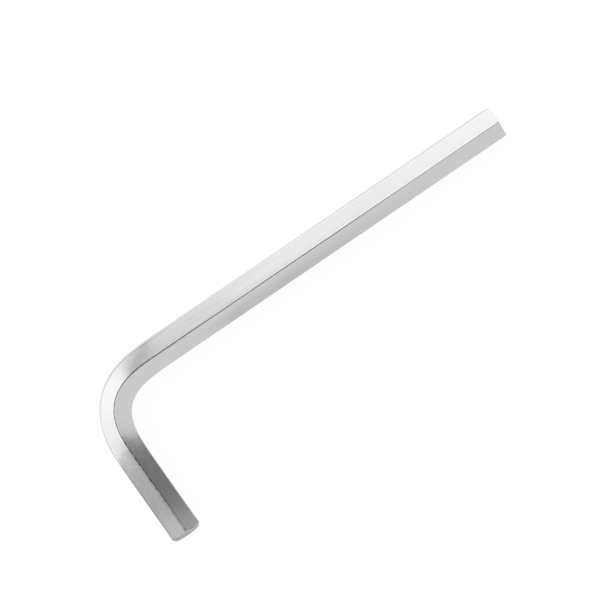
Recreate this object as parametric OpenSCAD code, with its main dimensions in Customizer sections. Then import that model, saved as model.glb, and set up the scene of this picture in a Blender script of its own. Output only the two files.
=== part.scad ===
// Hex key: one hexagonal steel bar with a single bend, lying on a bench.
// The bar is bent over two of its flats, so those two flats are the inside and the outside
// of the bend, and the key lies with one corner edge down and one corner edge up.
// The long arm points along +X, the short arm roughly along -Y, and the origin is on the
// bench under the middle of the key's outer box. All sizes are in millimetres.

/* [Bar] */
// Width across the flats, which is the size of the screw socket that the key fits
across_flats = 5; // [3:0.1:8]
// Radius on the six long edges of the drawn bar
edge_radius = 0.25; // [0.1:0.05:0.6]

/* [Arms] */
// Length of the long arm, from where the outside flats would meet to its tip
long_arm = 78.4; // [50:0.1:120]
// Length of the short arm, from where the outside flats would meet to its tip
short_arm = 28.4; // [23:0.1:60]

/* [Bend] */
// Angle that the bar is turned through, in degrees
bend_angle = 90.9; // [70:0.1:110]
// Radius on the inside of the bend where it is tightest
inner_radius = 4.9; // [3:0.1:7]
// How far the corner edges drift towards the outside at the middle of the bend
edge_drift = 0.43; // [0:0.01:0.8]
// How much thinner the bar gets, from inside to outside, at the middle of the bend
bend_thinning = 0.1; // [0:0.01:0.4]
// Share by which the inside flat widens and the outside flat narrows at the middle of the bend
flat_spread = 0.12; // [0:0.01:0.25]

/* [Ends] */
// Length that the turned chamfer takes off the corner edges at the tip of the short arm
short_tip_chamfer = 0.7; // [0.1:0.05:1]
// Slope of that chamfer, measured from the flat of the end, in degrees
short_tip_slope = 45; // [20:1:60]
// Length that the deburring takes off the corner edges at the tip of the long arm
long_tip_chamfer = 0.06; // [0.02:0.01:0.5]
// Slope of the deburring, measured from the flat of the end, in degrees
long_tip_slope = 30; // [20:1:40]

/* [Hidden] */

// Steps along the bend, and flat strips on each rounded long edge
bend_steps = 40;
edge_steps = 4;

half = across_flats / 2;
// Half the angle between two neighbouring corners of the hexagon
corner_half_angle = 30;
// Centre of a rounded corner, and its crest, measured from the middle of the bar
edge_centre = (half - edge_radius) / cos(corner_half_angle);
crest = edge_centre + edge_radius;

// The curvature along the bend follows a power of a sine, so it swells from nothing at both
// ends to its greatest at the middle, and the working of the section follows a higher power.
curve_power = 4;
working_power = 6;

// Curvature at the middle of each step, as a share of the greatest
step_curvature = [
    for (i = [0:bend_steps - 1])
        pow(sin(180 * (i + 0.5) / bend_steps), curve_power)
];
step_turn = bend_angle * step_curvature / sum(step_curvature);
step_length = (inner_radius + half) * bend_angle * PI / 180 / sum(step_curvature);

// Heading and centre of the bar at each station, from the long arm round to the short arm
heading = running_sum(step_turn, 0);
step_move = [
    for (i = [0:bend_steps - 1])
        -step_length * along(heading[i] + step_turn[i] / 2)
];
centre = running_sum(step_move, [0, 0]);

// Outer vertex: where the outside flats of the two arms would meet
bend_end = centre[bend_steps] + half * outward(bend_angle);
run_back = (half - bend_end[1]) / sin(bend_angle);
outer_vertex = bend_end + run_back * along(bend_angle);

long_tip = [outer_vertex[0] + long_arm, 0];
short_tip = outer_vertex - short_arm * along(bend_angle) - half * outward(bend_angle);

// Each station is [centre, heading, how strongly the bend works the section there]
stations = concat(
    [[long_tip, 0, 0]],
    [
        for (i = [0:bend_steps])
            [centre[i], heading[i], pow(sin(180 * i / bend_steps), working_power)]
    ],
    [[short_tip, bend_angle, 0]]
);

// Outline of the drawn bar, as [distance outward, height] from its middle
section = [
    for (side = [0:5], i = [0:edge_steps])
        let (
            corner = corner_half_angle + 60 * side,
            angle = corner + corner_half_angle * (2 * i / edge_steps - 1)
        )
        edge_centre * along(corner) + edge_radius * along(angle)
];

rings = [for (s = stations) [for (p = section) placed(worked(p, s[2]), s)]];
ring_size = len(section);
ring_points = [for (ring = rings) each ring];

// Shift that puts the origin under the middle of the key's outer box
all_x = [for (p = ring_points) p[0]];
all_y = [for (p = ring_points) p[1]];
middle_x = (min(all_x) + max(all_x)) / 2;
middle_y = (min(all_y) + max(all_y)) / 2;

// How far a cutter stands clear of the metal that it doesn't cut
cutter_margin = 0.2;
cone_facets = 96;
// Turn that keeps the cutter's own seam off the bar's edges, in degrees
cone_seam = 20;

function along(angle) = [cos(angle), sin(angle)];
function outward(angle) = [-sin(angle), cos(angle)];
function sum(list, i = 0) = i == len(list) ? 0 : list[i] + sum(list, i + 1);

// Every partial sum of a list, starting from the value given
function running_sum(list, start) =
    let (count = len(list))
    [for (i = 0, total = start; i <= count; total = i < count ? total + list[i] : total, i = i + 1) total];

// A point of the section as cold bending leaves it: the corner edges drift outward, the bar
// thins, and metal pushed together inside makes that flat wider and the outside one narrower
function worked(p, strength) =
    let (share = p[0] / half)
    [
        p[0] + strength * (edge_drift * (1 - abs(share)) - bend_thinning / 2 * share),
        p[1] * (1 - strength * flat_spread * share)
    ];

// A point of the section set up at a station, with the bar's middle at its own height
function placed(p, station) =
    let (plan = station[0] + p[0] * outward(station[1]))
    [plan[0], plan[1], crest + p[1]];

// Skin between the rings in triangles, closed by the first and the last ring
function skin(size, count) = concat(
    [[for (i = [0:size - 1]) i]],
    [
        for (ring = [0:count - 2], i = [0:size - 1])
            let (
                a = ring * size + i,
                b = ring * size + (i + 1) % size
            )
            each [[a, a + size, b], [b, a + size, b + size]]
    ],
    [[for (i = [size - 1:-1:0]) (count - 1) * size + i]]
);

module bent_bar() {
    polyhedron(points = ring_points, faces = skin(ring_size, len(rings)));
}

// Lathe tool that turns a cone on the tip of an arm. It works at the origin, on a bar that
// comes up to it along -Z, and leaves a round flat in the middle of the end.
module chamfer_cutter(chamfer, slope) {
    flat_radius = crest - chamfer / tan(slope);
    low_radius = crest + cutter_margin;
    rotate(cone_seam)
        rotate_extrude($fn = cone_facets)
            polygon([
                [flat_radius - cutter_margin, cutter_margin * tan(slope)],
                [low_radius, -(low_radius - flat_radius) * tan(slope)],
                [low_radius, cutter_margin * tan(slope)]
            ]);
}

// Stands something made along +Z on the tip of an arm, pointing out of the bar
module at_tip(tip, direction) {
    translate([tip[0], tip[1], crest])
        rotate([0, 90, direction])
            children();
}

module hex_key() {
    color([0.78, 0.78, 0.79])
        translate([-middle_x, -middle_y, 0])
            difference() {
                bent_bar();
                at_tip(long_tip, 0)
                    chamfer_cutter(long_tip_chamfer, long_tip_slope);
                at_tip(short_tip, bend_angle + 180)
                    chamfer_cutter(short_tip_chamfer, short_tip_slope);
            }
}

hex_key();
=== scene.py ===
# %% [markdown]
# # A hexagon key in satin nickel
#
# A hexagon key is one piece of steel bar with six flats, bent once. The factory cuts a straight
# blank from drawn bar, turns a small cone on the end that enters the screw, bends the blank
# cold and then plates it. This lesson makes the key in the same order: blank, ends, bend,
# plating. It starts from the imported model, which says how big the key is and where it lies.

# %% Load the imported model
from math import cos, degrees, hypot, pi, radians, sin, tan

import bmesh
import bpy
from mathutils import Matrix, Vector


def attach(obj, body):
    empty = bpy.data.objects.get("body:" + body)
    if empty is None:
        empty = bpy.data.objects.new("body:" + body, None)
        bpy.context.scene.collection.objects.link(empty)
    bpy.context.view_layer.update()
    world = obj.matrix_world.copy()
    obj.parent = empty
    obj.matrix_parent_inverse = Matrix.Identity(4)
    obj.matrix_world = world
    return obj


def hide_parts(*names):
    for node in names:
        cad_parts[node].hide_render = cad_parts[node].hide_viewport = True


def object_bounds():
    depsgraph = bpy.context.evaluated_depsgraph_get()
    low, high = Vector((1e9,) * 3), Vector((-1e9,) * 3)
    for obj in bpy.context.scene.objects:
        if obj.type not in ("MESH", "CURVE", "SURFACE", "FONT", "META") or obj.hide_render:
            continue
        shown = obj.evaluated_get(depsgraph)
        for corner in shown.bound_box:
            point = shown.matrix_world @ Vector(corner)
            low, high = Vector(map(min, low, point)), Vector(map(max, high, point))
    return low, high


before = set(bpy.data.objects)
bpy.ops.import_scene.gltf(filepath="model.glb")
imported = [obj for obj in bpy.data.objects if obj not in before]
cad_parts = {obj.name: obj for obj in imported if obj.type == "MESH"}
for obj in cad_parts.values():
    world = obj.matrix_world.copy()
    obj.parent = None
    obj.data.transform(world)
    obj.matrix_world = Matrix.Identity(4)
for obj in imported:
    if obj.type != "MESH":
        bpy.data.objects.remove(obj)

cad_low, cad_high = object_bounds()
print("CAD box, mm:", [round(1000 * v, 3) for v in (*cad_low, *cad_high)])

# %% [markdown]
# ## The sizes of the key
#
# The sizes are those of the part's own source, in millimetres. The key is worked on in
# millimetres too, because Blender's edit tools lose small edges when one unit is a metre, and
# it is made 1000 times smaller at the end.
#
# A hexagonal bar has flats and corners. The key was bent over two of its flats, so it lies on
# a bench with one corner edge down and one corner edge up.

# %% Sizes in millimetres
ACROSS_FLATS = 5.0
EDGE_RADIUS = 0.25
LONG_ARM = 78.4
SHORT_ARM = 28.4
BEND_ANGLE = radians(90.9)
INNER_RADIUS = 4.9
EDGE_DRIFT = 0.43
BEND_THINNING = 0.1
FLAT_SPREAD = 0.12
CHAMFER_SLOPE = radians(45)
CHAMFER_LENGTH = 0.7

HALF = ACROSS_FLATS / 2
CORNER = HALF / cos(radians(30))
CREST = CORNER - EDGE_RADIUS * (1 / cos(radians(30)) - 1)
print("corner edges stand", round(CREST, 3), "mm from the middle of the bar")

# %% [markdown]
# ## The line that the bar follows
#
# A bar that is bent cold in a press doesn't turn on one clean radius. Its curvature swells
# from nothing to its greatest at the middle of the bend and dies away again. The fourth power
# of a sine does that. The line is walked in small steps from the long arm to the short one,
# and each step turns a little.

# %% Walk the bend
WALK = 160
CURVE_POWER = 4
shares = [sin(pi * (i + 0.5) / WALK) ** CURVE_POWER for i in range(WALK)]
turns = [BEND_ANGLE * share / sum(shares) for share in shares]
STRIDE = (INNER_RADIUS + HALF) * BEND_ANGLE / sum(shares)
BEND_REACH = STRIDE * WALK


def along(angle):
    return Vector((cos(angle), sin(angle)))


def outward(angle):
    return Vector((-sin(angle), cos(angle)))


line, heading = [Vector((0, 0))], 0
for turn in turns:
    line.append(line[-1] - STRIDE * along(heading + turn / 2))
    heading += turn
print("the bend takes", round(BEND_REACH, 2), "mm of bar")
print("and turns it", round(degrees(heading), 1), "degrees")

# %% [markdown]
# ## How long the blank is
#
# The arms are measured from the point where the outside flats would meet, as a catalogue
# does it. That gives each arm's straight length, and the length of the straight blank. From
# here on, a place on the blank is its distance from the tip of the short arm.

# %% Lengths of the straight parts
bend_end = line[-1] + HALF * outward(BEND_ANGLE)
outer_vertex = bend_end + (HALF - bend_end.y) / sin(BEND_ANGLE) * along(BEND_ANGLE)
long_tip = Vector((outer_vertex.x + LONG_ARM, 0))
short_tip = outer_vertex - SHORT_ARM * along(BEND_ANGLE) - HALF * outward(BEND_ANGLE)
BEND_START = (short_tip - line[-1]).length
BEND_FINISH = BEND_START + BEND_REACH
LONG_STRAIGHT = long_tip.length
BLANK = BEND_FINISH + LONG_STRAIGHT
print("blank, mm:", [round(part, 2) for part in (BEND_START, BEND_REACH, LONG_STRAIGHT)])

# %% [markdown]
# ## Tools for edit mode
#
# By hand one clicks on the edges to work on. In code they are chosen by their place, so a
# small helper selects what a test says. A second one moves the selected points by a rule,
# where no single transform would do. Two places closer than TOUCH count as the same place.

# %% Helpers for working in edit mode
TOUCH = 0.001


def pick(chosen, kind="VERT"):
    """Selects only the vertices, edges or faces for which chosen() is true, and counts them."""
    bpy.ops.mesh.select_all(action="DESELECT")
    bpy.ops.mesh.select_mode(type=kind)
    mesh = bmesh.from_edit_mesh(bpy.context.edit_object.data)
    parts = {"VERT": mesh.verts, "EDGE": mesh.edges, "FACE": mesh.faces}[kind]
    for part in parts:
        if chosen(part):
            part.select_set(True)
    mesh.select_flush_mode()
    bmesh.update_edit_mesh(bpy.context.edit_object.data)
    return sum(part.select for part in parts)


def both_ends(chosen):
    """True for an edge when chosen() is true at both of its ends."""
    return lambda edge: all(chosen(end.co) for end in edge.verts)


def shape_selected(rule):
    """Moves each selected vertex to where rule() sends it."""
    mesh = bmesh.from_edit_mesh(bpy.context.edit_object.data)
    for vertex in mesh.verts:
        if vertex.select:
            vertex.co = rule(vertex.co)
    bmesh.update_edit_mesh(bpy.context.edit_object.data)


def from_middle(place):
    """Distance of a place on the straight blank from the middle line of the bar."""
    return hypot(place.y, place.z)


# %% [markdown]
# ## The section of drawn bar
#
# Drawn bar has six flats and softly rounded long edges. The section starts as a circle of six
# points, filled, standing upright across the bar, and a bevel on its points makes the rounds.
# The bevel's offset is a share of the radius, chosen so that the crest comes out as high as
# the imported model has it. The flats are then divided into narrow strips, so that the cone on
# the end and the worked metal in the bend have points to follow.

# %% Section of the bar
BEVEL_SHARE = 0.528
FLAT_STRIPS = 12
EDGE_STRIPS = 6

bpy.ops.object.select_all(action="DESELECT")
bpy.ops.mesh.primitive_circle_add(
    vertices=6, radius=CORNER, fill_type="NGON", rotation=(pi / 2, 0, pi / 2))
key = bpy.context.active_object
key.name = key.data.name = "bent_key"
bpy.ops.object.transform_apply(location=False, rotation=True, scale=False)
bpy.ops.object.mode_set(mode="EDIT")
bpy.ops.mesh.select_all(action="SELECT")
bpy.ops.mesh.bevel(
    offset=BEVEL_SHARE * EDGE_RADIUS, offset_type="OFFSET", affect="VERTICES",
    segments=EDGE_STRIPS)
highest = max(v.co.z for v in bmesh.from_edit_mesh(key.data).verts)
print("crest after the bevel:", round(highest, 4), "mm; wanted:", round(CREST, 4), "mm")

long_edges = pick(lambda edge: edge.calc_length() > EDGE_RADIUS, "EDGE")
bpy.ops.mesh.subdivide(number_cuts=FLAT_STRIPS - 1)
points = len(bmesh.from_edit_mesh(key.data).verts)
print(long_edges, "flats;", points, "points round the section")

# %% [markdown]
# ## The straight blank
#
# A length of bar is the section pulled out in a line, which is what extruding does. It is
# extruded three times: for the short arm, for the metal that will be in the bend and for the
# long arm. Only the middle length is then cut into many rings, because the arms stay straight.

# %% Extrude the blank
BEND_RINGS = 80


def lengthwise_in_bend(edge):
    """True for an edge that runs along the metal of the bend."""
    start, finish = sorted(end.co.x for end in edge.verts)
    in_bend = BEND_START - TOUCH < start and finish < BEND_FINISH + TOUCH
    return finish - start > TOUCH and in_bend


bpy.ops.mesh.select_all(action="SELECT")
for length in (BEND_START, BEND_REACH, LONG_STRAIGHT):
    bpy.ops.mesh.extrude_region_move(TRANSFORM_OT_translate={"value": (length, 0, 0)})
pick(lengthwise_in_bend, "EDGE")
bpy.ops.mesh.subdivide(number_cuts=BEND_RINGS - 1)
mesh = bmesh.from_edit_mesh(key.data)
open_edges = sum(edge.is_boundary for edge in mesh.edges)
print("blank has", len(mesh.verts), "vertices and", open_edges, "open edges")

# %% [markdown]
# ## The turned end
#
# The end that enters the screw is turned in a lathe to a shallow cone, which leaves a round
# flat in the middle and takes most off the corner edges. That is why each flat ends in an
# arc. Cutting with a cone would leave long thin faces, so the end is drawn instead. The end
# face is extruded in place and its new outline is drawn in to a circle. Then the old outline
# slides back along the bar, each point by as much as it stands outside that circle. A bevel
# breaks both sharp rims, as a wire brush and plating would.

# %% Turn the cone
FLAT_RADIUS = CREST - CHAMFER_LENGTH / tan(CHAMFER_SLOPE)
CONE_RIM = 0.11
FLAT_RIM = 0.08
RIM_STEPS = 3

end_faces = pick(lambda face: all(v.co.x < TOUCH for v in face.verts), "FACE")
bpy.ops.mesh.extrude_region_move(TRANSFORM_OT_translate={"value": (0, 0, 0)})
shape_selected(lambda p: Vector((0, p.y, p.z)) * (FLAT_RADIUS / from_middle(p)))
pick(lambda vertex: vertex.co.x < TOUCH and from_middle(vertex.co) > FLAT_RADIUS + TOUCH)
shape_selected(lambda p: Vector(((from_middle(p) - FLAT_RADIUS) * tan(CHAMFER_SLOPE), p.y, p.z)))


def on_cone_rim(place):
    return TOUCH < place.x < 2 * CHAMFER_LENGTH and from_middle(place) > HALF - TOUCH


def on_flat_rim(place):
    return abs(place.x) < TOUCH and abs(from_middle(place) - FLAT_RADIUS) < TOUCH


outer_rim = pick(both_ends(on_cone_rim), "EDGE")
bpy.ops.mesh.bevel(offset=CONE_RIM, segments=RIM_STEPS, affect="EDGES")
inner_rim = pick(both_ends(on_flat_rim), "EDGE")
bpy.ops.mesh.bevel(offset=FLAT_RIM, segments=RIM_STEPS, affect="EDGES")
print(end_faces, "end face; rims of", outer_rim, "and", inner_rim, "edges")
print("round flat of radius", round(FLAT_RADIUS, 2), "mm")

# %% [markdown]
# ## The cut end
#
# The end of the long arm is only cut square and tumbled, so its rim keeps a very small round.
# That is one more bevel. The whole skin is then checked: doubles are merged, faces are turned
# outward, and no edge may stay open.

# %% Round the rim of the cut end
CUT_RIM = 0.06

cut_rim = pick(both_ends(lambda place: place.x > BLANK - TOUCH), "EDGE")
bpy.ops.mesh.bevel(offset=CUT_RIM, segments=RIM_STEPS, affect="EDGES")
bpy.ops.mesh.select_all(action="SELECT")
bpy.ops.mesh.remove_doubles(threshold=TOUCH)
bpy.ops.mesh.normals_make_consistent(inside=False)
mesh = bmesh.from_edit_mesh(key.data)
open_edges = sum(not edge.is_manifold for edge in mesh.edges)
print("cut rim of", cut_rim, "edges;", open_edges, "open edges")
print("volume", round(mesh.calc_volume(), 1), "mm3")
bpy.ops.object.mode_set(mode="OBJECT")

# %% [markdown]
# ## Remember the straight bar
#
# Drawing lines and grain run along the metal and follow it round the bend. So each vertex
# keeps its place on the straight blank, in millimetres, as an attribute of the mesh, and the
# plating's pattern reads it later: first the run along the bar, then outward, then up.

# %% Store each vertex's place on the blank
STRAIGHT_PLACE = "straight_place"
store = key.data.attributes.new(STRAIGHT_PLACE, "FLOAT_VECTOR", "POINT")
store.data.foreach_set("vector", [value for v in key.data.vertices for value in v.co])
print("stored", len(store.data), "places")

# %% [markdown]
# ## Work the section
#
# In the bend the outside of the bar is stretched and the inside is squeezed. The bar gets a
# little thinner, the squeezed flat wider and the stretched one narrower, and the upper and
# lower corner edges drift outward. No single transform does all of that, so each vertex is
# moved by a rule, whose strength grows from nothing at both ends of the bend.

# %% Shift the metal in the bend
WORKING_POWER = 6


def worked(place):
    share = (place.x - BEND_START) / BEND_REACH
    strength = sin(pi * share) ** WORKING_POWER if 0 < share < 1 else 0
    side = place.y / HALF
    shift = EDGE_DRIFT * (1 - abs(side)) - BEND_THINNING / 2 * side
    spread = 1 - strength * FLAT_SPREAD * side
    return Vector((place.x, place.y + strength * shift, place.z * spread))


bpy.ops.object.mode_set(mode="EDIT")
bpy.ops.mesh.select_all(action="SELECT")
shape_selected(worked)
bpy.ops.object.mode_set(mode="OBJECT")
print("corner edges drift", EDGE_DRIFT, "mm outward at the middle of the bend")

# %% [markdown]
# ## Bend the blank
#
# A Curve modifier slides a mesh along a line and turns each slice of it with the line, which
# is what the press does. The line starts at the tip of the short arm, because the mesh's X
# axis follows it from there. Points are set at even distances on the straight parts as well,
# so that the modifier measures lengths along the line correctly.

# %% Draw the line that the bar follows
origin = Vector((1000 * cad_high.x, 1000 * cad_high.y - HALF)) - long_tip


def evenly(start, end):
    """Points from start up to, but without, end, about one stride apart."""
    count = round((end - start).length / STRIDE)
    return [start.lerp(end, i / count) for i in range(count)]


route = evenly(short_tip, line[-1]) + line[:0:-1] + evenly(line[0], long_tip) + [long_tip]
curve = bpy.data.curves.new("middle_line", "CURVE")
spline = curve.splines.new("POLY")
spline.points.add(len(route) - 1)
for point, spot in zip(spline.points, route):
    point.co = (*(origin + spot), 0, 1)
middle_line = bpy.data.objects.new("middle_line", curve)
bpy.context.collection.objects.link(middle_line)
print("the line has", len(route), "points")

# %% [markdown]
# The bend is applied, and the line is no longer needed. The key is lifted until its lower
# corner edge touches the bench, and is made 1000 times smaller, from millimetres to metres.

# %% Bend the blank along the line
MILLIMETRE = 0.001

bend = key.modifiers.new("bend", "CURVE")
bend.object = middle_line
bend.deform_axis = "POS_X"
bpy.ops.object.modifier_apply(modifier=bend.name)
bpy.data.objects.remove(middle_line)
key.location.z = CREST
key.scale = (MILLIMETRE, MILLIMETRE, MILLIMETRE)
key.location *= MILLIMETRE
bpy.ops.object.transform_apply(location=True, rotation=True, scale=True)
key_box = [round(1000 * c, 3) for end in (key.bound_box[0], key.bound_box[6]) for c in end]
print("bent key, mm:", key_box)

# %% [markdown]
# ## Flat flats and round edges
#
# The flats mirror the room like plane mirrors, and only the narrow rounds between them turn
# the reflection. Smooth shading alone would bend the light across the flats too. So the
# shading is smooth up to an angle, and a Weighted Normal modifier lets the large faces decide
# which way the normals point.

# %% Shade the flats flat and the rounds smooth
SMOOTH_UP_TO = radians(30)
LARGE_FACES_WIN = 100

bpy.ops.object.shade_smooth_by_angle(angle=SMOOTH_UP_TO)
weigh = key.modifiers.new("flat_normals", "WEIGHTED_NORMAL")
weigh.keep_sharp = True
weigh.weight = LARGE_FACES_WIN
bpy.ops.object.modifier_apply(modifier=weigh.name)
print("the key has", len(key.data.polygons), "faces")

# %% [markdown]
# ## A small language for shaders
#
# A pattern is arithmetic on places. Written as nodes it is long, so a small class wraps a
# socket, and an expression such as 1 - mask * 0.2 adds the Math nodes that it needs.

# %% Sockets that take part in arithmetic
class Value:
    def __init__(self, tree, node, output=0):
        self.tree, self.node = tree, node
        self.socket = node.outputs[output] if node.outputs else None

    def output(self, name):
        return Value(self.tree, self.node, name)

    def math(self, operation, *others):
        """A Math node that takes this socket first and the others after it."""
        inputs = dict(enumerate((self, *others)))
        return self.tree.add("ShaderNodeMath", {"operation": operation}, inputs)

    def __add__(self, other):
        return self.math("ADD", other)

    def __mul__(self, other):
        return self.math("MULTIPLY", other)

    def __sub__(self, other):
        return self.math("SUBTRACT", other)

    def __rsub__(self, other):
        return (self * -1) + other

    def __abs__(self):
        return self.math("ABSOLUTE")

    __radd__, __rmul__ = __add__, __mul__

    def ramp(self, low, high):
        """0 up to low, 1 from high, and a smooth step between."""
        inputs = {"Value": self, "From Min": low, "From Max": high}
        settings = {"interpolation_type": "SMOOTHSTEP"}
        return self.tree.add("ShaderNodeMapRange", settings, inputs)


class Tree:
    """The nodes of one material or world."""

    def __init__(self, owner):
        owner.use_nodes = True
        self.nodes, self.links = owner.node_tree.nodes, owner.node_tree.links
        self.nodes.clear()

    def add(self, kind, settings=None, inputs=None, output=0):
        """A new node with its settings and inputs, and one of its outputs to go on with."""
        node = self.nodes.new(kind)
        for name, setting in (settings or {}).items():
            setattr(node, name, setting)
        for name, given in (inputs or {}).items():
            if isinstance(given, Value):
                self.links.new(given.socket, node.inputs[name])
            else:
                node.inputs[name].default_value = given
        return Value(self, node, output)


# %% [markdown]
# ## Satin nickel plating
#
# Nickel is a pale metal with a slightly warm grey. Satin plating keeps the fine drawing lines
# of the steel under it, and it mirrors its surroundings with a soft blur. All its patterns
# are drawn on the straight blank, from the places that the vertices remember, so they follow
# the bar round the bend. The first cell gives names to those places: how far along the bar,
# how far toward the outside of the bend, how far up, and how far from the middle line.

# %% Start the plating and name the places on the bar
plating = bpy.data.materials.new("satin_nickel")
metal = Tree(plating)
on_blank = metal.add("ShaderNodeAttribute", {"attribute_name": STRAIGHT_PLACE}, output="Vector")
run, out, rise = (
    metal.add("ShaderNodeSeparateXYZ", inputs={"Vector": on_blank}, output=axis)
    for axis in "XYZ")
from_axis = (out * out + rise * rise).math("SQRT")


def on_stretch(starts, full, fades, gone):
    """1 on a stretch of the bar and 0 past its soft ends, in mm from the short tip."""
    return run.ramp(starts, full) * (1 - run.ramp(fades, gone))


print("places on the bar take", len(metal.nodes), "nodes")

# %% [markdown]
# ## Lines, clouds and grain
#
# Drawing pulls the steel through a die, so its marks are long and thin. A noise becomes such
# a mark when it is sampled slowly along the bar and quickly across it. The same noise, less
# stretched, gives the clouds of the plating bath, the blotches of handling and the low dents
# that the press leaves.

# %% Noises on the straight bar
def noise(stretch, scale, detail, roughness=0.5):
    """Cloudy pattern on the straight bar; a small stretch draws it out on that axis."""
    scaled = metal.add("ShaderNodeMapping", inputs={"Vector": on_blank, "Scale": stretch})
    return metal.add("ShaderNodeTexNoise", inputs={
        "Vector": scaled, "Scale": scale, "Detail": detail, "Roughness": roughness})


clouds = noise(stretch=(0.35, 1, 1), scale=0.8, detail=3)
mottle = noise(stretch=(0.7, 1, 1), scale=2.4, detail=2)
grain = noise(stretch=(1, 1, 1), scale=9, detail=2)
lines = noise(stretch=(0.05, 1, 1), scale=9, detail=4, roughness=0.7)
streaks = noise(stretch=(0.07, 1, 1), scale=2.6, detail=3)
dents = noise(stretch=(0.8, 1, 1), scale=0.5, detail=2)
print("with the noises,", len(metal.nodes), "nodes")

# %% [markdown]
# ## The painted dark line along the corner edges
#
# The upper and lower corner edges carry a thin dark line. It is a painted reflection: dark
# colour put where the rounded crest mirrors something dark, and it is widest and darkest in
# the bend. It is a tenth of a millimetre wide, too fine for the mesh, so it is a mask: how far a
# point lies from the line, which wanders a little. A one-way noise, the same all across the
# bar, makes it ragged, and a harder one breaks it into dashes on the short arm.

# %% Place and darkness of the painted dark line
PAINTED_LINE_INSIDE_CREST = 0.05
PAINTED_LINE_WANDER = 0.1
PAINTED_LINE_EDGE = (0.045, 0.07)
PAINTED_LINE_WIDER_IN_BEND = 0.02
CORNER_EDGE_RISE = (2.6, 2.7)
PAINTED_LINE_BEND_STRETCH = (24, 29, 38, 46)

ragged = noise(stretch=(1, 0, 0), scale=1.8, detail=4, roughness=0.6) - 0.5
painted_line_in_bend = on_stretch(*PAINTED_LINE_BEND_STRETCH)
off_painted_line = abs(out + PAINTED_LINE_INSIDE_CREST + ragged * PAINTED_LINE_WANDER) - painted_line_in_bend * PAINTED_LINE_WIDER_IN_BEND
# Painted reflection: a dark line in the colour, where the rounded crest mirrors something dark
painted_line = (1 - off_painted_line.ramp(*PAINTED_LINE_EDGE)) * abs(rise).ramp(*CORNER_EDGE_RISE)

# Darkness of the painted line at the short tip, what is added to it between two places of the
# run, and the share that it loses toward the cut end
DARK_AT_TIP = 0.52
DARK_CHANGES = ((0.24, 6, 11), (-0.18, 18, 21), (0.44, 24, 29))
LOST_SHARE, LOSS_STARTS, LOSS_ENDS = 0.75, 64, 84

painted_line_along = DARK_AT_TIP
for change, start, finish in DARK_CHANGES:
    painted_line_along = painted_line_along + change * run.ramp(start, finish)
painted_line_along = painted_line_along * (1 - LOST_SHARE * run.ramp(LOSS_STARTS, LOSS_ENDS))

DASH_GAP = (0.44, 0.56)
DASHES_END = (20, 30)
PAINTED_LINE_EVEN, PAINTED_LINE_RAGGED, PAINTED_LINE_DASHED = 0.85, 1.4, 0.6
PAINTED_LINE_DARKEST = 0.97

dashes = noise(stretch=(1, 0, 0), scale=1.3, detail=2).ramp(*DASH_GAP) - 0.5
dashes = dashes * (1 - run.ramp(*DASHES_END))
unevenness = PAINTED_LINE_EVEN + ragged * (PAINTED_LINE_RAGGED + painted_line_in_bend) + dashes * PAINTED_LINE_DASHED
# How dark the painted reflection along the crest is
painted_line_darkness = (painted_line_along * unevenness).math("MINIMUM", PAINTED_LINE_DARKEST)
print("with the fold,", len(metal.nodes), "nodes")

# %% [markdown]
# ## Worn corner edges
#
# Plating is thin on a sharp edge and rubs off there first. All corner edges are a little
# darker on their very crest. On the outside of the bend two short stretches were scuffed by
# the press and are much darker. RIDGE is measured from the middle line of the bar, where the
# crest lies at 2.848 mm.

# %% Scuffs on the outside of the bend
RIDGE = (2.832, 2.842)
RIDGE_WEAR = 0.1
SCUFF_WEAR = 0.6
OUTSIDE = (2.2, 2.3)
FIRST_SCUFF = (14.5, 16, 18, 20)
SECOND_SCUFF = (24.5, 26.5, 29.5, 32)
SECOND_SCUFF_SHARE = 0.7

ridge = from_axis.ramp(*RIDGE)
scuffs = on_stretch(*FIRST_SCUFF) + on_stretch(*SECOND_SCUFF) * SECOND_SCUFF_SHARE
outside_edge = out.ramp(*OUTSIDE) * scuffs
# Real wear on the edges, plus the painted dark line along the crest
wear_and_painted_line = ridge * (RIDGE_WEAR + SCUFF_WEAR * outside_edge) + painted_line * painted_line_darkness
print("with the worn edges,", len(metal.nodes), "nodes")

# %% [markdown]
# ## Marks of the press and of hands, a painted shade and a painted highlight
#
# The clamp of the press held the long arm just past the bend, and there the streaks stand out.
# The short arm is the one that is handled, so its blotches are stronger toward the tip. A faint
# band of painted shade darkens the inner flats of the long arm, and a painted highlight
# brightens its outer flats. Each mark is a soft mask: a stretch of the bar, and for the last
# two also one side of it.

# %% Masks for the marks
PRESSED = (BEND_FINISH - 12, BEND_FINISH - 4, BEND_FINISH + 8, BEND_FINISH + 24)
HANDLED = (6, 22)
PAINTED_SHADE_STRETCH, PAINTED_SHADE_SIDE = (40, 48, 55, 92), (0.2, 2.0)
PAINTED_HIGHLIGHT_STRETCH, PAINTED_HIGHLIGHT_SIDE = (42, 53), (0, 1)
PAINTED_HIGHLIGHT_FADES, PAINTED_HIGHLIGHT_FADE_SHARE = (62, 74), 0.55

pressed = on_stretch(*PRESSED)
handled = 1 - run.ramp(*HANDLED)
# Painted shade: a darker band on the inner flats of the long arm
painted_shade = (out * -1).ramp(*PAINTED_SHADE_SIDE) * on_stretch(*PAINTED_SHADE_STRETCH) * (0.5 + clouds)
# Painted highlight: brighter outer flats of the long arm, fading toward the cut end
painted_highlight = out.ramp(*PAINTED_HIGHLIGHT_SIDE) * run.ramp(*PAINTED_HIGHLIGHT_STRETCH)
painted_highlight = painted_highlight * (1 - PAINTED_HIGHLIGHT_FADE_SHARE * run.ramp(*PAINTED_HIGHLIGHT_FADES))
print("with the marks,", len(metal.nodes), "nodes")

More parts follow.
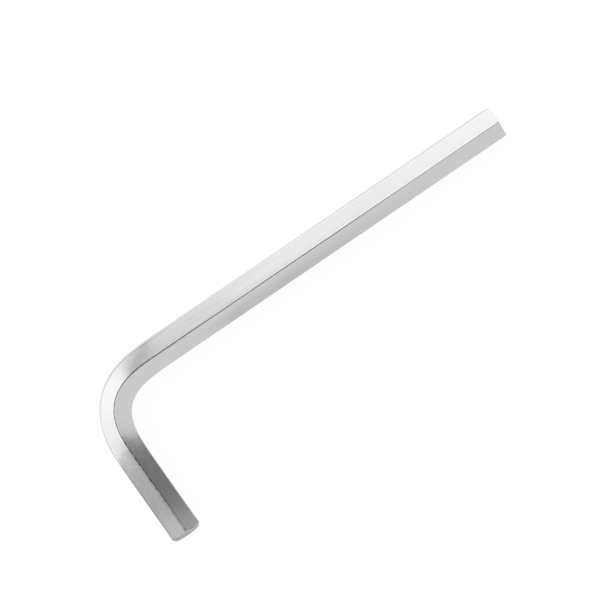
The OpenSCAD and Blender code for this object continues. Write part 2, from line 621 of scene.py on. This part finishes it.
# %% [markdown]
# ## The tone of the metal
#
# The colour of a metal is what it reflects straight on, so the base colour is a pale grey. The
# painted dark line on the corner edges and the scuffs darken it. A painted shade and a painted
# highlight make the long arm's inner and outer flats a little darker and lighter, and all other
# patterns make it only a little lighter or darker. A noise lies round a half, so a half is
# taken away from it and the mean stays.

# %% Base colour
NICKEL = (0.787, 0.787, 0.785)
CLOUDS_SHOW = 0.06
LINES_SHOW = 0.03
STREAKS_SHOW, STREAKS_WHERE_PRESSED = 0.05, 0.17
MOTTLE_SHOWS, MOTTLE_WHERE_HANDLED = 0.07, 0.2
# How much the painted shade darkens the inner flats
PAINTED_SHADE_DARKENS = 0.15
# How much the painted highlight brightens the outer flats
PAINTED_HIGHLIGHT_BRIGHTENS = 0.11

patterns = (
    (clouds - 0.5) * CLOUDS_SHOW
    + (lines - 0.5) * LINES_SHOW
    + (streaks - 0.5) * (STREAKS_SHOW + STREAKS_WHERE_PRESSED * pressed)
    + (mottle - 0.5) * (MOTTLE_SHOWS + MOTTLE_WHERE_HANDLED * handled))
# The wear, the painted dark line and the painted shade darken the tone
tone = (1 + patterns) * (1 - wear_and_painted_line) * (1 - PAINTED_SHADE_DARKENS * painted_shade)
# The painted highlight brightens the tone
tone = tone * (1 + PAINTED_HIGHLIGHT_BRIGHTENS * painted_highlight)
base = metal.add(
    "ShaderNodeVectorMath", {"operation": "SCALE"}, {0: NICKEL, "Scale": tone})
print("with the tone,", len(metal.nodes), "nodes")

# %% [markdown]
# ## How blurred the reflections are
#
# Satin plating is slightly rough, and unevenly so. The corner edges are rubbed smoother,
# except on the inside, where nothing rubs them. The last millimetres of the short arm have
# been in screws, which leaves them duller, but not the turned cone itself. The cone is found
# by how far a point lies behind the rim of its round flat.

# %% Roughness
SATIN = 0.17
UNEVEN = 0.05
CORNER_RADIUS, NOT_INSIDE = (2.72, 2.83), (-2.2, -1.5)
CORNER_SMOOTHER = 0.6
DRIVEN, OFF_THE_CONE = (0, 7), (0.08, 0.3)
DRIVEN_ROUGHER = 0.14

behind_rim = run - (from_axis - FLAT_RADIUS).math("MAXIMUM", 0) * tan(CHAMFER_SLOPE)
corner = from_axis.ramp(*CORNER_RADIUS) * out.ramp(*NOT_INSIDE)
driven = (1 - run.ramp(*DRIVEN)) * behind_rim.ramp(*OFF_THE_CONE)
rough = (SATIN + clouds * UNEVEN + grain * UNEVEN) * (1 - corner * CORNER_SMOOTHER)
rough = rough + driven * DRIVEN_ROUGHER
print("with the roughness,", len(metal.nodes), "nodes")

# %% [markdown]
# ## The relief
#
# The drawing lines, the grain, the turning rings on the cone and the saw marks on the cut end
# are a few thousandths of a millimetre high. The press also leaves low dents in the bend and
# twists its outer flats by a hair, first one way and then the other, which slants the border
# between light and dark. All of that is too low to model and only shows in what the metal
# mirrors, so it is a bump. Its heights are in millimetres, times the bump's distance.

# %% Bump
LINE_HEIGHT, GRAIN_HEIGHT, RING_HEIGHT, SAW_HEIGHT = 0.001, 0.0006, 0.0004, 0.003
RING_PHASE = 80
CONE_ENDS = (0.02, 0.05)
SAWN_FACE = (BLANK - 0.03, BLANK - 0.01)
DENT_HEIGHT, DENT_FADE = 0.03, 9
TWIST_HEIGHT, TWIST_TURNS, TWIST_STRETCH = 0.03, (28.5, 33.5), (14, 25, 35, 50)

rings = (from_axis * RING_PHASE).math("SINE") * (1 - behind_rim.ramp(*CONE_ENDS))
sawn = noise(stretch=(1, 0.08, 1), scale=12, detail=2) * run.ramp(*SAWN_FACE)
in_bend = on_stretch(BEND_START, BEND_START + DENT_FADE, BEND_FINISH - DENT_FADE, BEND_FINISH)
twist = (run.ramp(*TWIST_TURNS) - 0.5) * on_stretch(*TWIST_STRETCH)
relief = (
    lines * LINE_HEIGHT + grain * GRAIN_HEIGHT + rings * RING_HEIGHT + sawn * SAW_HEIGHT
    + dents * in_bend * DENT_HEIGHT
    + out.math("MAXIMUM", 0).math("POWER", 2) * twist * TWIST_HEIGHT)
bump = metal.add(
    "ShaderNodeBump", inputs={"Strength": 1, "Distance": MILLIMETRE, "Height": relief})
print("with the bump,", len(metal.nodes), "nodes")

# %% [markdown]
# ## Put the plating on
#
# One Principled shader takes the tone, the roughness and the bump. It is metal all over.

# %% Shader of the plating
nickel = metal.add("ShaderNodeBsdfPrincipled", inputs={
    "Base Color": base, "Metallic": 1, "Roughness": rough, "Normal": bump})
metal.add("ShaderNodeOutputMaterial", inputs={"Surface": nickel})
key.data.materials.append(plating)
print("plating has", len(metal.nodes), "nodes")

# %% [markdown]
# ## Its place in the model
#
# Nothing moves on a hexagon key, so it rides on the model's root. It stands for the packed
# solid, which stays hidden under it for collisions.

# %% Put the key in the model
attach(key, "root")
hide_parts("hex_key")
print(key.name, "stands for the packed key")

# %% [markdown]
# ## The floor
#
# The key lies on a plain white floor, which would look grey if it were only lit. So a camera
# ray sees it nearly white by itself, and a small lit share on top keeps the key's soft
# shadow. The metal mirrors the floor too, a little dimmer, and dimmest on the side away from
# the bright panels, as in a real room.

# %% Floor
FLOOR_SIZE = 12
WHITE_SEEN = 0.93
FAR_SIDE_MIRRORED, PANEL_SIDE_MORE = 0.38, 0.42
PANEL_SIDE = (-0.018, -0.013)
LIT_SHARE = (0.1, 0.1, 0.1, 1)

bpy.ops.object.select_all(action="DESELECT")
bpy.ops.mesh.primitive_plane_add(size=FLOOR_SIZE)
floor = bpy.context.active_object
floor.name = "floor"
white = bpy.data.materials.new("white_floor")
paint = Tree(white)
floor_ray = paint.add("ShaderNodeLightPath")
where = paint.add("ShaderNodeTexCoord", output="Object")
depth = paint.add("ShaderNodeSeparateXYZ", inputs={"Vector": where}, output="Y")
mirrored = FAR_SIDE_MIRRORED + PANEL_SIDE_MORE * depth.ramp(*PANEL_SIDE)
own_white = (floor_ray.output("Is Camera Ray") * WHITE_SEEN
             + floor_ray.output("Is Glossy Ray") * mirrored)
glow = paint.add("ShaderNodeEmission", inputs={"Strength": own_white})
lit = paint.add("ShaderNodeBsdfDiffuse", inputs={"Color": LIT_SHARE})
both = paint.add("ShaderNodeAddShader", inputs={0: glow, 1: lit})
paint.add("ShaderNodeOutputMaterial", inputs={"Surface": both})
floor.data.materials.append(white)
print("floor of", FLOOR_SIZE, "m, with", len(paint.nodes), "nodes")

# %% [markdown]
# ## The studio round the key
#
# Metal shows what stands round it, so the surroundings matter more than the lamps. The world
# is a plain pale room with two bright soft panels on the side of the outer flats, and a few
# dark gaps. Lamps could do the same, but a patch of the world has no distance and lights all
# of the bar alike. Each patch lies between two azimuths and two heights, with soft borders.

# %% Directions in the room
studio = bpy.data.worlds.new("studio")
bpy.context.scene.world = studio
sky = Tree(studio)
direction = sky.add("ShaderNodeTexCoord", output="Generated")
axes = sky.add("ShaderNodeSeparateXYZ", inputs={"Vector": direction})
azimuth = axes.output("Y").math("ARCTAN2", axes.output("X")) * (180 / pi)
height = axes.output("Z").math("ARCSINE") * (180 / pi)
SOFT_HEIGHT = 8


def patch(middle, half_width, soft_start, soft_end, low, high):
    """1 inside a patch of the surroundings and 0 outside, with soft borders, in degrees."""
    off = (azimuth - middle).math("WRAP", 180, -180)
    start = off.ramp(-half_width - soft_start / 2, -half_width + soft_start / 2)
    end = 1 - off.ramp(half_width - soft_end / 2, half_width + soft_end / 2)
    bottom = height.ramp(low - SOFT_HEIGHT / 2, low + SOFT_HEIGHT / 2)
    top = 1 - height.ramp(high - SOFT_HEIGHT / 2, high + SOFT_HEIGHT / 2)
    return start * end * bottom * top


print("directions take", len(sky.nodes), "nodes")

# %% [markdown]
# The table below gives what each patch adds to the light of the room, or takes from it, and
# its place. The azimuth is counted from the long arm's direction toward its outer side.
# Nearly straight above, a dimmer round patch stands for what hangs over such a table, and the
# upper edges mirror it. The camera itself sees only white behind the floor.

# %% Light of the room
ROOM = 0.75
PATCHES = (
    # light, then middle, half width, soft start, soft end, low and high, in degrees
    (0.45, (142.7, 41.7, 26, 8, 0, 80)),      # wide panel, past the bend
    (0.46, (68.5, 20.5, 14, 13, 0, 80)),      # narrow panel, beside the long arm
    (-0.45, (95, 7, 8, 18, 14, 58)),          # dark gap between the panels
    (-0.07, (168, 13, 20, 6, 0, 80)),         # the wide panel's dimmer end
    (-0.47, (-162, 14, 7, 10, 0, 45)),        # dark gap on the side of the short arm
    (-0.655, (8, 19.5, 9, 14, 15, 45)),       # dark gap in line with the long arm
)
OVERHEAD_TOWARD = Vector((-0.1, -0.27, 0.96)).normalized()
OVERHEAD_EDGE = (cos(radians(18)), cos(radians(11)))
OVERHEAD_DIMS = 0.4

light = ROOM
for added, borders in PATCHES:
    light = light + patch(*borders) * added
toward = {0: direction, 1: OVERHEAD_TOWARD}
near_ceiling = sky.add(
    "ShaderNodeVectorMath", {"operation": "DOT_PRODUCT"}, toward, output="Value")
light = light * (1 - near_ceiling.ramp(*OVERHEAD_EDGE) * OVERHEAD_DIMS)

seen = sky.add("ShaderNodeLightPath").output("Is Camera Ray")
strength = light * (1 - seen) + seen
background = sky.add(
    "ShaderNodeBackground", inputs={"Color": (1, 1, 1, 1), "Strength": strength})
sky.add("ShaderNodeOutputWorld", inputs={"Surface": background})
print("the room has", len(PATCHES), "patches and", len(sky.nodes), "nodes")

# %% [markdown]
# ## The camera
#
# The camera looks almost straight down on the key from 0.6 m, leaning less than six degrees,
# and it is turned so that the long arm rises to the right. The lens follows from how wide a
# piece of floor it has to see at that distance.

# %% Camera
TARGET = Vector((-0.001707, 0.005965, 0.002848))
TOWARD_CAMERA = Vector((-0.05113, 0.07936, 0.99553)).normalized()
DISTANCE = 0.6
ROLL = radians(34.231)
FIELD_WIDTH = 0.09285
SENSOR_WIDTH = 36

right = Vector((cos(ROLL), -sin(ROLL), 0))
right = (right - right.dot(TOWARD_CAMERA) * TOWARD_CAMERA).normalized()
up = TOWARD_CAMERA.cross(right)
lens = bpy.data.cameras.new("camera")
lens.sensor_width = SENSOR_WIDTH
lens.lens = SENSOR_WIDTH * DISTANCE / FIELD_WIDTH
camera = bpy.data.objects.new("camera", lens)
facing = Matrix((right, up, TOWARD_CAMERA)).transposed()
camera.matrix_world = Matrix.Translation(TARGET + DISTANCE * TOWARD_CAMERA) @ facing.to_4x4()
bpy.context.collection.objects.link(camera)
bpy.context.scene.camera = camera
bpy.context.scene.view_settings.view_transform = "Standard"
print("lens of", round(lens.lens, 1), "mm,", DISTANCE, "m from the key")
